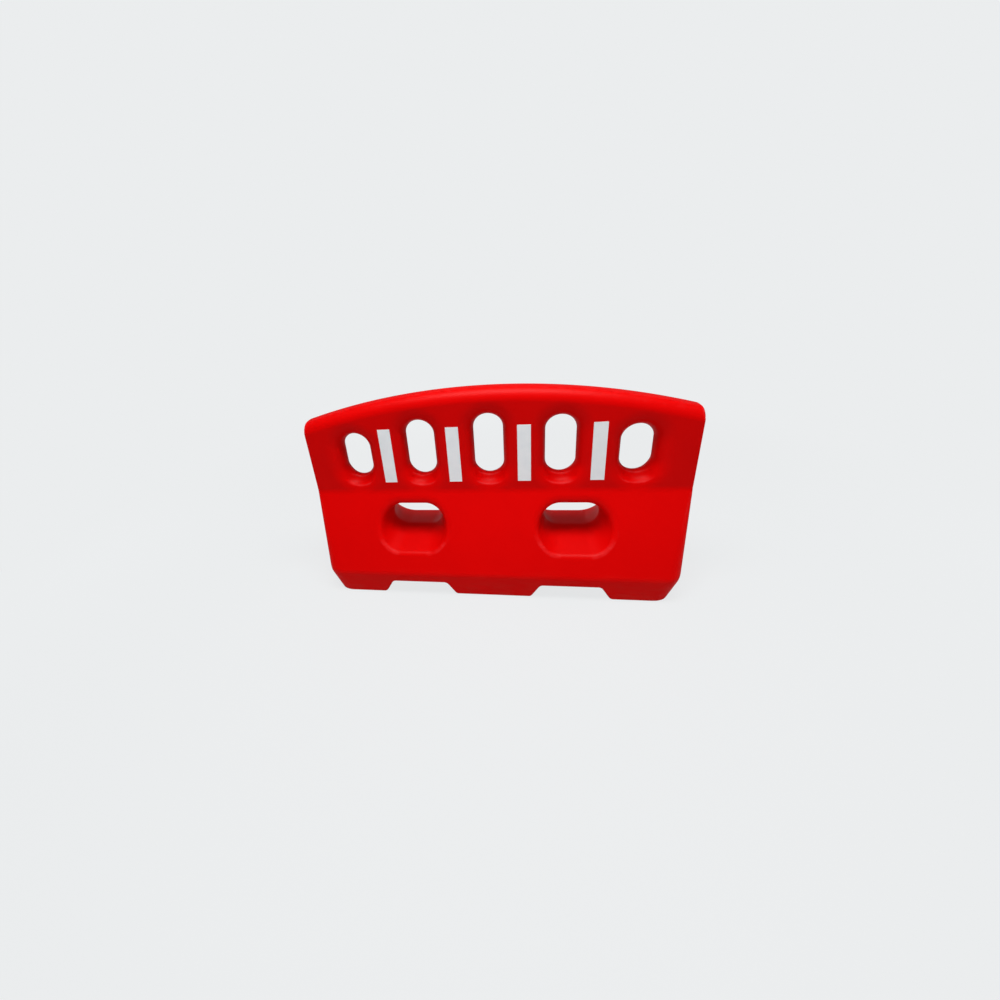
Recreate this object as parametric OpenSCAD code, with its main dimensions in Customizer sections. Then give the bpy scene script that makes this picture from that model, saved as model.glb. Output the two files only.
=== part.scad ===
// Water-filled road barrier: a hollow one-piece moulding with five upright slots in an arched panel,
// two through tunnels in the flared base and two fork channels under it. It carries reflective strips,
// a screw cap for filling and a screw plug for draining, both on the rear face.
// Frame: X along the barrier, front face towards -Y, Z up, origin on the ground at the middle.

/* [Barrier] */
// Length over the upright ends
barrier_l = 1800; // [1600:10:2000]
// Height at the middle of the crown
barrier_h = 1000; // [960:5:1060]
// Wall of the hollow moulding
wall = 5; // [4:0.5:7]
// Thickness of the upper panel
panel_t = 136; // [130:2:160]
// Rounding of the upright corners
corner_r = 12; // [9:1:18]

/* [Base] */
// Height of the waist, where the panel meets the flared base
waist_z = 500; // [490:2:506]
// Height of the widest line of the skirt
skirt_z = 124; // [112:2:140]
// Depth at the widest line of the skirt
skirt_d = 500; // [494:2:530]
// Length at the widest line of the skirt
skirt_l = 1670; // [1630:2:1700]
// Depth over the feet at the ground
foot_d = 484; // [470:2:490]
// Length over the feet at the ground
foot_l = 1564; // [1530:2:1600]
// Rounding of the skirt's widest line
skirt_edge_r = 40; // [25:1:60]

/* [Crown] */
// Radius of the arch that the crown follows
crown_r = 3200; // [3000:10:3600]
// Rounding of the crown's long edges
crown_edge_r = 60; // [50:1:64]
// Rounding of the crown's ends, seen from the front
crown_end_r = 14; // [12:1:24]

/* [Slots] */
// Number of upright slots in the panel
slot_count = 5; // [3:2:5]
// Spacing of the slots
slot_pitch = 330; // [324:1:336]
// Width of a slot at its throat
slot_w = 136; // [120:2:140]
// Height of every slot's throat above the waist, at its foot
slot_rise = 68; // [62:1:80]
// Height of panel left between the middle slot's throat and the crown
slot_cover = 129; // [120:1:145]
// Radius of the arch through the tops of the slots
slot_arch_r = 2950; // [2700:10:3300]
// Draft of the slot walls on each side of the throat
slot_draft = 2; // [1:0.5:4]
// Rounding of the slot mouths
slot_lip_r = 48; // [42:1:50]
// Slope of the sill that drops from the throat to each face
sill_slope = 36; // [30:1:40]
// Width of the sloping sill
sill_w = 112; // [90:2:120]
// Distance from the middle plane at which the sill leaves the throat
sill_y = 22; // [16:1:28]

/* [Tunnels] */
// Distance of a tunnel from the middle of the barrier
tunnel_x = 390; // [380:1:398]
// Height of the tunnels' centre line
tunnel_z = 338; // [334:1:342]
// Width of a tunnel at its throat
tunnel_w = 262; // [240:2:270]
// Height of a tunnel at its throat
tunnel_h = 154; // [140:2:158]
// Draft of the tunnel walls on each side of the throat
tunnel_draft = 12; // [10:0.5:13]
// Width of a tunnel's mouth over its lip
mouth_w = 360; // [350:2:372]
// Height of a tunnel's mouth over its lip, along the flared face
mouth_h = 282; // [276:2:288]
// Height of the middle of a tunnel's mouth
mouth_z = 336; // [333:1:339]
// Rounding of the tunnel mouths
tunnel_lip_r = 34; // [28:1:38]

/* [Fork channels] */
// Distance of a fork channel from the middle of the barrier
fork_x = 367; // [355:1:380]
// Width of a channel at the ground
fork_w = 362; // [340:2:380]
// Width of a channel at its roof
fork_roof_w = 276; // [250:2:300]
// Height of a channel
fork_h = 70; // [60:1:80]

/* [Reflective strips] */
// Number of strips on each face
strip_count = 4; // [2:2:4]
// Spacing of the strips
strip_pitch = 326; // [318:1:334]
// Width of a strip
strip_w = 60; // [50:1:70]
// Height of a strip's lower edge above the waist
strip_rise = 50; // [40:1:60]
// Distance of a strip's upper edge below the middle of the crown
strip_cover = 168; // [160:1:190]
// Thickness of the film
strip_t = 0.5; // [0.3:0.1:1]

/* [Filler] */
// Height of the filler's centre on the rear face
filler_z = 400; // [380:1:420]
// Diameter of the pocket that the filler sits in
filler_pocket_d = 124; // [118:1:136]
// Depth of the pocket
filler_pocket_h = 26; // [24:1:32]
// Bore of the collar
filler_bore = 66; // [56:1:70]
// Outside diameter of the collar's sleeve
filler_sleeve_d = 86; // [80:1:90]
// Length of the collar's sleeve below the pocket floor
filler_sleeve_h = 28; // [24:1:34]
// Diameter of the collar's flange
filler_flange_d = 106; // [98:1:110]
// Diameter of the cap
filler_cap_d = 96; // [90:1:104]
// Thickness of the cap's disc
filler_cap_h = 9; // [7:0.5:10]
// Length of the cap's plug
filler_plug_h = 20; // [16:1:24]

/* [Drain] */
// Height of the drain's centre above the ground
drain_z = 40; // [39:1:42]
// Diameter of the pocket that the drain sits in
drain_pocket_d = 66; // [62:1:70]
// Depth of the pocket's floor behind the middle of the skirt's face
drain_recess = 32; // [28:1:36]
// Bore of the collar
drain_bore = 32; // [28:1:34]
// Outside diameter of the collar's sleeve
drain_sleeve_d = 42; // [40:1:46]
// Length of the collar's sleeve below the pocket floor
drain_sleeve_h = 20; // [16:1:26]
// Diameter of the collar's flange
drain_flange_d = 54; // [50:1:58]
// Diameter of the plug's head
drain_head_d = 48; // [44:1:52]
// Thickness of the plug's head
drain_head_h = 6; // [5:0.5:7]
// Length of the plug's shank
drain_shank_h = 15; // [12:1:18]

/* [Hidden] */

$fn = 96;
// Facets of a whole turn of the arch, when it is drawn
arch_fn = 256;
// How far a cut runs past the face that it opens
overrun = 2;
// How far a rounding reaches past its tangent lines, so that it crosses the faces cleanly
blend_bite = 0.06;
// Lap of the base inside the panel
waist_lap = 20;
// How far the end rounding stands clear of the crown's arch
roof_clear = 0.2;
// Depth of the arched panel below the crown, past the waist
panel_drop = 620;
// Most of a slot's height that one of its round ends takes, in a low panel
slot_end_share = 0.48;
// How far the arc of a lip bends before it runs straight on, and how deep that runs
slot_lip_turn = 76;
slot_lip_reach = 54;
tunnel_lip_turn = 44;
tunnel_lip_reach = 40;
// Clearance between a sleeve and the moulding around it
sleeve_fit = 0.1;
// Clearance round the screwed parts
thread_fit = 0.4;
// Thickness of the collars' flanges and of the gaskets
filler_flange_h = 4;
filler_gasket_h = 4;
drain_flange_h = 3;
drain_gasket_h = 3;
// Gap between a gasket and the faces that it seals
gasket_fit = 0.1;
// Finger grip across the cap: its width, length and height
filler_grip_w = 16;
filler_grip_l = 78;
filler_grip_h = 8;
// Scallops round the cap's rim
cap_scallop_count = 12;
cap_scallop_d = 12;
cap_scallop_share = 0.3;
// Hexagon of the drain plug, across its corners
drain_hex_d = 28;
drain_hex_h = 12;
// Wall of the hollow plugs
filler_plug_wall = 5;
drain_plug_wall = 5;

end_x = barrier_l / 2;
panel_y = panel_t / 2;
skirt_x = skirt_l / 2;
skirt_y = skirt_d / 2;
foot_x = foot_l / 2;
foot_y = foot_d / 2;
// Lean of the flared face from upright, and of the base's ends
flare_angle = atan2(skirt_y - panel_y, waist_z - skirt_z);
end_angle = atan2(end_x - skirt_x, waist_z - skirt_z);
foot_lean = atan2(skirt_y - foot_y, skirt_z);
foot_end_lean = atan2(skirt_x - foot_x, skirt_z);
crown_z0 = barrier_h - crown_r;
slot_foot_z = waist_z + slot_rise;
slot_top_z = barrier_h - slot_cover;
slot_z0 = slot_top_z - slot_arch_r;
slot_r = slot_w / 2;
strip_foot_z = waist_z + strip_rise;
strip_h = barrier_h - strip_cover - strip_foot_z;
drain_floor_y = (foot_y + skirt_y) / 2 - drain_recess;
// Point on the rear flared face where the filler's axis meets it
filler_y = panel_y + (waist_z - filler_z) * tan(flare_angle);

shell_red = "#c80a0c";
film_white = "#d6dce0";
collar_black = "#26282a";
rubber_black = "#1b1b1c";
cap_red = "#b4090b";

// Half depth of the flared face, and half length of the base's end, at height z
function flare_y(z, inset) = panel_y + (waist_z - z) * tan(flare_angle) - inset / cos(flare_angle);
function base_end_x(z, inset) = end_x - (waist_z - z) * tan(end_angle) - inset / cos(end_angle);
// The same for the skirt, which leans in towards the ground
function skirt_face_y(z, inset) = foot_y + z * tan(foot_lean) - inset / cos(foot_lean);
function skirt_end_x(z, inset) = foot_x + z * tan(foot_end_lean) - inset / cos(foot_end_lean);
// Height of the crown, and of a slot's top, at a distance x from the middle
function crown_z(x) = crown_z0 + sqrt(pow(crown_r, 2) - pow(x, 2));
function slot_top(x) = slot_z0 + sqrt(pow(slot_arch_r, 2) - pow(x, 2));
// Radius of a slot's round ends
function slot_end_r(x) = min(slot_r, slot_end_share * (slot_top(x) - slot_foot_z));

function unit(v) = v / norm(v);
function left_of(v) = [-v[1], v[0]];
function wrap(list, i) = list[(i + len(list)) % len(list)];
// An outline that runs anticlockwise, with every edge moved in by d
function inset_outline(points, d) = [for (i = [0 : len(points) - 1])
    let (before = left_of(unit(points[i] - wrap(points, i - 1))),
         after = left_of(unit(wrap(points, i + 1) - points[i])))
    points[i] + d * (before + after) / (1 + before * after)];
// Half the angle inside a corner, the corner's tangent length and the middle of its rounding
function half_angle(p, a, b) = acos(unit(a - p) * unit(b - p)) / 2;
function tangent_l(p, a, b, r) = r / tan(half_angle(p, a, b));
function round_centre(p, a, b, r) = p + unit(unit(a - p) + unit(b - p)) * r / sin(half_angle(p, a, b));

// A convex outline with the corner i rounded by radii[i]
module rounded(points, radii) {
    corners = [for (i = [0 : len(points) - 1]) [points[i], wrap(points, i - 1), wrap(points, i + 1), radii[i]]];
    polygon([for (c = corners)
        let (reach = tangent_l(c[0], c[1], c[2], c[3]))
        each [c[0] + reach * unit(c[1] - c[0]), c[0] + reach * unit(c[2] - c[0])]]);
    for (c = corners)
        if (c[3] > 0)
            translate(round_centre(c[0], c[1], c[2], c[3])) circle(c[3]);
}

// Cross-section of the flared base, in the plane of Y and Z
module base_section(inset) {
    lap_z = waist_z + waist_lap / tan(flare_angle);
    lap_y = panel_y - waist_lap;
    outline = [[-foot_y, 0], [foot_y, 0], [skirt_y, skirt_z], [lap_y, lap_z], [-lap_y, lap_z], [-skirt_y, skirt_z]];
    edge = skirt_edge_r - inset;
    rounded(inset_outline(outline, inset), [0, 0, edge, 0, 0, edge]);
}

// Outline seen from the front: ends that lean in below the waist, and the roof that rounds the crown's ends
module elevation(inset) {
    roof_x = end_x - crown_end_r;
    roof_slope = roof_x / sqrt(pow(crown_r, 2) - pow(roof_x, 2));
    roof_z = crown_z(roof_x) + roof_clear;
    eaves_z = roof_z - (end_x - roof_x) * roof_slope;
    ridge_z = roof_z + roof_x * roof_slope;
    outline = [[-foot_x, 0], [foot_x, 0], [skirt_x, skirt_z], [end_x, waist_z],
               [end_x, eaves_z], [0, ridge_z], [-end_x, eaves_z], [-end_x, waist_z], [-skirt_x, skirt_z]];
    round_r = crown_end_r - inset;
    rounded(inset_outline(outline, inset), [0, 0, 0, 0, round_r, 0, round_r, 0, 0]);
}

// The upper panel: the bull-nosed crown, swung about the centre of its arch
module arched_panel(inset) {
    swing = 2 * asin(end_x / (crown_r - panel_drop));
    y = panel_y - inset;
    edge = crown_edge_r - inset;
    outer = crown_r - inset;
    translate([0, 0, crown_z0])
        rotate([-90, 0, 0])
            rotate([0, 0, -90 - swing / 2])
                rotate_extrude(angle = swing, $fn = arch_fn)
                    rounded([[crown_r - panel_drop, -y], [outer, -y], [outer, y], [crown_r - panel_drop, y]],
                        [0, edge, edge, 0]);
}

// What a rounding of radius r takes off the edge from p to q, between faces with outward normals a and b
module edge_round(p, q, a, b, r) {
    along = unit(q - p);
    tilt = acos(along[2]);
    turn = atan2(along[1], along[0]);
    ex = [cos(tilt) * cos(turn), cos(tilt) * sin(turn), -sin(tilt)];
    ey = [-sin(turn), cos(turn), 0];
    u = [a * ex, a * ey];
    v = [b * ex, b * ey];
    corner = (u + v) / (1 + u * v);
    middle = -r * corner;
    translate(p) rotate([0, tilt, turn]) translate([0, 0, -r]) linear_extrude(norm(q - p) + 2 * r)
        difference() {
            polygon([middle, middle + (r + overrun) * u, overrun * corner, middle + (r + overrun) * v]);
            translate(middle) circle(r + blend_bite);
        }
}

// A slab of the space between two heights
module between(low, high) {
    translate([-barrier_l, -barrier_l, low]) cube([2 * barrier_l, 2 * barrier_l, high - low]);
}

// The roundings of one end's front corner: panel, flared base and skirt
module corner_rounds(inset) {
    r = corner_r - inset;
    panel_face = [0, -1, 0];
    flare_face = [0, -cos(flare_angle), sin(flare_angle)];
    skirt_face = [0, -cos(foot_lean), -sin(foot_lean)];
    panel_end = [1, 0, 0];
    base_end = [cos(end_angle), 0, -sin(end_angle)];
    skirt_end = [cos(foot_end_lean), 0, -sin(foot_end_lean)];
    intersection() {
        edge_round([end_x - inset, inset - panel_y, waist_z], [end_x - inset, inset - panel_y, barrier_h],
            panel_face, panel_end, r);
        between(waist_z, barrier_h + overrun);
    }
    intersection() {
        edge_round([base_end_x(waist_z, inset), -flare_y(waist_z, inset), waist_z],
            [base_end_x(skirt_z, inset), -flare_y(skirt_z, inset), skirt_z], flare_face, base_end, r);
        between(skirt_z, waist_z);
    }
    intersection() {
        edge_round([skirt_end_x(skirt_z, inset), -skirt_face_y(skirt_z, inset), skirt_z],
            [skirt_end_x(0, inset), -skirt_face_y(0, inset), 0], skirt_face, skirt_end, r);
        between(-overrun, skirt_z);
    }
}

// The whole closed form, with every face moved in by inset
module body_form(inset) {
    difference() {
        intersection() {
            rotate([90, 0, 0]) linear_extrude(2 * skirt_d, center = true) elevation(inset);
            union() {
                arched_panel(inset);
                rotate([90, 0, 90]) linear_extrude(2 * barrier_l, center = true) base_section(inset);
            }
        }
        for (x = [0, 1]) for (y = [0, 1])
            mirror([x, 0, 0]) mirror([0, y, 0]) corner_rounds(inset);
    }
}

// Carries a half profile round a stadium whose straight sides are rise long; the profile's second axis lies along Y
module stadium_sweep(rise) {
    for (side = [-1, 1])
        translate([0, 0, side * rise / 2]) rotate([-90, 0, 0]) rotate_extrude() children();
    linear_extrude(rise, center = true)
        for (side = [0, 1]) mirror([side, 0]) translate([-blend_bite, 0]) children();
}

// Half profile of a bore that widens both ways from its throat
module throat_profile(r, draft, reach) {
    mouth = r + reach * tan(draft);
    polygon([[0, -reach], [mouth, -reach], [r, 0], [mouth, reach], [0, reach]]);
}

// Half profile of what rounds a mouth: an arc of radius r leaves the face at the distance out from the middle, bends
// through turn, and runs straight on into the opening down to the depth reach
module lip_profile(out, r, turn, reach) {
    end = [out - r * sin(turn), r * (cos(turn) - 1)];
    difference() {
        polygon([[0, overrun], [out, overrun], [out, end[1]], end, [end[0] - (reach + end[1]) / tan(turn), -reach],
            [0, -reach]]);
        translate([out, -r]) circle(r + blend_bite);
    }
}

// One upright slot, opened wider by grow
module slot_cut(x, grow) {
    r = slot_end_r(x);
    rise = slot_top(x) - slot_foot_z - 2 * r;
    out = r + panel_y * tan(slot_draft) + slot_lip_r * tan(45 - slot_draft / 2);
    translate([x, 0, slot_foot_z + r + rise / 2]) stadium_sweep(rise) {
        throat_profile(r + grow, slot_draft, panel_y + overrun);
        for (y = [0, 1]) mirror([0, y]) translate([0, panel_y - grow])
            lip_profile(out, slot_lip_r - grow, slot_lip_turn, slot_lip_reach);
    }
    sill_d = min(sill_w, 2 * r);
    for (y = [0, 1]) mirror([0, y, 0])
        translate([x, -sill_y, slot_foot_z]) rotate([sill_slope, 0, 0]) translate([0, sill_y, sill_d / 2])
            rotate([90, 0, 0]) cylinder(h = panel_t, d = sill_d + 2 * grow);
}

// One tunnel through the base, opened wider by grow
module tunnel_cut(grow) {
    translate([0, 0, tunnel_z]) rotate([0, 90, 0]) stadium_sweep(tunnel_w - tunnel_h)
        throat_profile(tunnel_h / 2 + grow, tunnel_draft, skirt_y + overrun);
    for (y = [0, 1]) mirror([0, y, 0])
        translate([0, -flare_y(mouth_z, 0), mouth_z]) rotate([-flare_angle, 0, 0]) translate([0, grow, 0])
            rotate([0, 90, 0]) mirror([0, 1, 0]) stadium_sweep(mouth_w - mouth_h)
                lip_profile(mouth_h / 2, tunnel_lip_r - grow, tunnel_lip_turn, tunnel_lip_reach);
}

// One fork channel under the base, opened wider by grow
module fork_cut(grow) {
    wide = fork_w / 2;
    roof = fork_roof_w / 2;
    lean = atan2(wide - roof, fork_h);
    low = wide + overrun * tan(lean) + grow / cos(lean);
    high = roof + grow * (1 / cos(lean) - tan(lean));
    rotate([90, 0, 0]) linear_extrude(2 * skirt_d, center = true)
        polygon([[-low, -overrun], [low, -overrun], [high, fork_h + grow], [-high, fork_h + grow]]);
}

// Stands its children on the rear face, with their Z along the filler's axis
module at_filler() {
    translate([0, filler_y, filler_z]) rotate([flare_angle - 90, 0, 0]) children();
}

// Stands its children in the drain's pocket, with their Z along the drain's axis
module at_drain() {
    translate([0, drain_floor_y, drain_z]) rotate([-90, 0, 0]) children();
}

// Everything that passes into or through the moulding, opened wider by grow
module openings(grow) {
    for (i = [0 : slot_count - 1]) slot_cut((i - (slot_count - 1) / 2) * slot_pitch, grow);
    for (side = [-1, 1]) {
        translate([side * tunnel_x, 0, 0]) tunnel_cut(grow);
        translate([side * fork_x, 0, 0]) fork_cut(grow);
    }
    at_filler() translate([0, 0, -filler_pocket_h - grow])
        cylinder(h = filler_pocket_h + grow + overrun, d = filler_pocket_d + 2 * grow);
    at_drain() translate([0, 0, -grow]) cylinder(h = skirt_y, d = drain_pocket_d + 2 * grow);
}

// The holes that the sleeves pass through
module sleeve_holes() {
    at_filler() translate([0, 0, -filler_pocket_h - filler_sleeve_h - overrun])
        cylinder(h = filler_sleeve_h + 2 * overrun, d = filler_sleeve_d + 2 * sleeve_fit);
    at_drain() translate([0, 0, -drain_sleeve_h - overrun])
        cylinder(h = drain_sleeve_h + 2 * overrun, d = drain_sleeve_d + 2 * sleeve_fit);
}

// The bosses of the moulding round the sleeves
module sleeve_bosses() {
    at_filler() translate([0, 0, -filler_pocket_h - filler_sleeve_h])
        cylinder(h = filler_sleeve_h, d = filler_sleeve_d + 2 * wall);
    at_drain() translate([0, 0, -drain_sleeve_h]) cylinder(h = drain_sleeve_h, d = drain_sleeve_d + 2 * wall);
}

module barrier_shell() {
    color(shell_red) difference() {
        body_form(0);
        openings(0);
        difference() {
            body_form(wall);
            openings(wall);
            sleeve_bosses();
        }
        sleeve_holes();
    }
}

// One strip of film, the i-th from the left; the face is -1 in front and 1 behind
module reflective_strip(i, face) {
    x = (i - (strip_count + 1) / 2) * strip_pitch;
    color(film_white) translate([x - strip_w / 2, min(face * panel_y, face * (panel_y + strip_t)), strip_foot_z])
        cube([strip_w, strip_t, strip_h]);
}

// A flanged sleeve whose flange stands on the plane of zero
module collar(flange_d, flange_h, sleeve_d, sleeve_h, bore) {
    difference() {
        union() {
            cylinder(h = flange_h, d = flange_d);
            translate([0, 0, -sleeve_h]) cylinder(h = sleeve_h, d = sleeve_d);
        }
        translate([0, 0, -sleeve_h - overrun]) cylinder(h = sleeve_h + flange_h + 2 * overrun, d = bore);
    }
}

module filler_collar() {
    color(collar_black) at_filler() translate([0, 0, -filler_pocket_h])
        collar(filler_flange_d, filler_flange_h, filler_sleeve_d, filler_sleeve_h, filler_bore);
}

module gasket(outer_d, bore, h) {
    difference() {
        cylinder(h = h, d = outer_d);
        translate([0, 0, -overrun]) cylinder(h = h + 2 * overrun, d = bore);
    }
}

module filler_gasket() {
    color(rubber_black) at_filler() translate([0, 0, filler_flange_h - filler_pocket_h + gasket_fit])
        gasket(filler_cap_d - cap_scallop_d, filler_bore, filler_gasket_h);
}

module filler_cap() {
    plug_d = filler_bore - 2 * thread_fit;
    scallop_at = filler_cap_d / 2 + cap_scallop_d * (1 / 2 - cap_scallop_share);
    color(cap_red) at_filler()
        translate([0, 0, filler_flange_h - filler_pocket_h + filler_gasket_h + 2 * gasket_fit])
            difference() {
                union() {
                    cylinder(h = filler_cap_h, d = filler_cap_d);
                    translate([0, 0, -filler_plug_h]) cylinder(h = filler_plug_h, d = plug_d);
                    translate([-filler_grip_l / 2, -filler_grip_w / 2, 0])
                        cube([filler_grip_l, filler_grip_w, filler_cap_h + filler_grip_h]);
                }
                for (i = [0 : cap_scallop_count - 1]) rotate([0, 0, i * 360 / cap_scallop_count])
                    translate([scallop_at, 0, -overrun])
                        cylinder(h = filler_cap_h + 2 * overrun, d = cap_scallop_d);
                translate([0, 0, -filler_plug_h - overrun])
                    cylinder(h = filler_plug_h + overrun, d = plug_d - 2 * filler_plug_wall);
            }
}

module drain_collar() {
    color(collar_black) at_drain()
        collar(drain_flange_d, drain_flange_h, drain_sleeve_d, drain_sleeve_h, drain_bore);
}

module drain_gasket() {
    color(rubber_black) at_drain() translate([0, 0, drain_flange_h + gasket_fit])
        gasket(drain_head_d, drain_bore, drain_gasket_h);
}

module drain_plug() {
    shank_d = drain_bore - 2 * thread_fit;
    color(cap_red) at_drain() translate([0, 0, drain_flange_h + drain_gasket_h + 2 * gasket_fit])
        difference() {
            union() {
                cylinder(h = drain_head_h, d = drain_head_d);
                cylinder(h = drain_head_h + drain_hex_h, d = drain_hex_d, $fn = 6);
                translate([0, 0, -drain_shank_h]) cylinder(h = drain_shank_h, d = shank_d);
            }
            translate([0, 0, -drain_shank_h - overrun])
                cylinder(h = drain_shank_h + overrun, d = shank_d - 2 * drain_plug_wall);
        }
}

barrier_shell();
for (i = [1 : strip_count]) {
    reflective_strip(i, -1);
    reflective_strip(i, 1);
}
filler_collar();
filler_gasket();
filler_cap();
drain_collar();
drain_gasket();
drain_plug();
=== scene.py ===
"""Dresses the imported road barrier: its moulded shell, reflective film and the screw fittings on its rear face."""

import logging
import math
from abc import ABC, abstractmethod
from collections.abc import Callable
from dataclasses import dataclass
from enum import Enum

import bpy
import numpy as np
from mathutils import Matrix, Vector


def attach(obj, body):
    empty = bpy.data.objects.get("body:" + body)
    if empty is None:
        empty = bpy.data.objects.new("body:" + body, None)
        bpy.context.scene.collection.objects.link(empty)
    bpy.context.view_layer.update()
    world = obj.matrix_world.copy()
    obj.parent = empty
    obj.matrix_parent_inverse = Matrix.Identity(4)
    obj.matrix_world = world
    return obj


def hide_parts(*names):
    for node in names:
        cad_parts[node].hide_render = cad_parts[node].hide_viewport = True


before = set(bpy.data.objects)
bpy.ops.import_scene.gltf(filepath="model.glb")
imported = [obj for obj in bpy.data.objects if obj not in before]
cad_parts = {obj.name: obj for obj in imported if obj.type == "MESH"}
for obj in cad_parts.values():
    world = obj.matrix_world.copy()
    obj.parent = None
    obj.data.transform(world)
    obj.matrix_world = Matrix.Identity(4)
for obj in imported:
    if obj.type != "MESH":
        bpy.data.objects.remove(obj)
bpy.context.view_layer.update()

LOG = logging.getLogger("barrier")
MM = 0.001
Array = np.ndarray
Field = Callable[[Array, Array, Array], Array]
Point = tuple[float, float, float]
Surface = tuple[Array, list[Array]]
Tree = bpy.types.NodeTree
Socket = bpy.types.NodeSocket
Material = bpy.types.Material

# Sockets of the Mix node when it mixes colours
MIX_FIRST = 6
MIX_SECOND = 7
MIX_RESULT = 2


def linear(code: str) -> tuple[float, float, float, float]:
    """Turns an sRGB hex colour into linear light.

    Args:
        code: the colour, such as "#d40404".

    Returns:
        Red, green, blue and an alpha of one.
    """
    parts = np.array([int(code[i:i + 2], 16) for i in (1, 3, 5)]) / 255.0
    light = np.where(parts <= 0.04045, parts / 12.92, ((parts + 0.055) / 1.055) ** 2.4)
    return (*light.tolist(), 1.0)


def add_node(tree: Tree, kind: str, settings: dict, links: dict | None = None) -> bpy.types.Node:
    """Adds one node to a tree.

    Args:
        tree: the material's or the world's node tree.
        kind: the node's type name.
        settings: values by input socket (name or number), or by the node's own property name.
        links: output sockets that feed the node's inputs, by socket name or number.

    Returns:
        The new node.
    """
    node = tree.nodes.new(kind)
    for key, value in settings.items():
        if isinstance(key, str) and hasattr(node, key):
            setattr(node, key, value)
        else:
            node.inputs[key].default_value = value
    for key, source in (links or {}).items():
        tree.links.new(source, node.inputs[key])
    return node


def new_material(name: str) -> tuple[Material, Tree]:
    """Makes an empty node material.

    Args:
        name: the material's name.

    Returns:
        The material and its node tree.
    """
    material = bpy.data.materials.new(name)
    material.use_nodes = True
    material.node_tree.nodes.clear()
    return material, material.node_tree


def per_mm(size_mm: float) -> float:
    """Scale of a pattern on coordinates in metres, for a feature of that size."""
    return 1.0 / (size_mm * MM)


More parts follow.
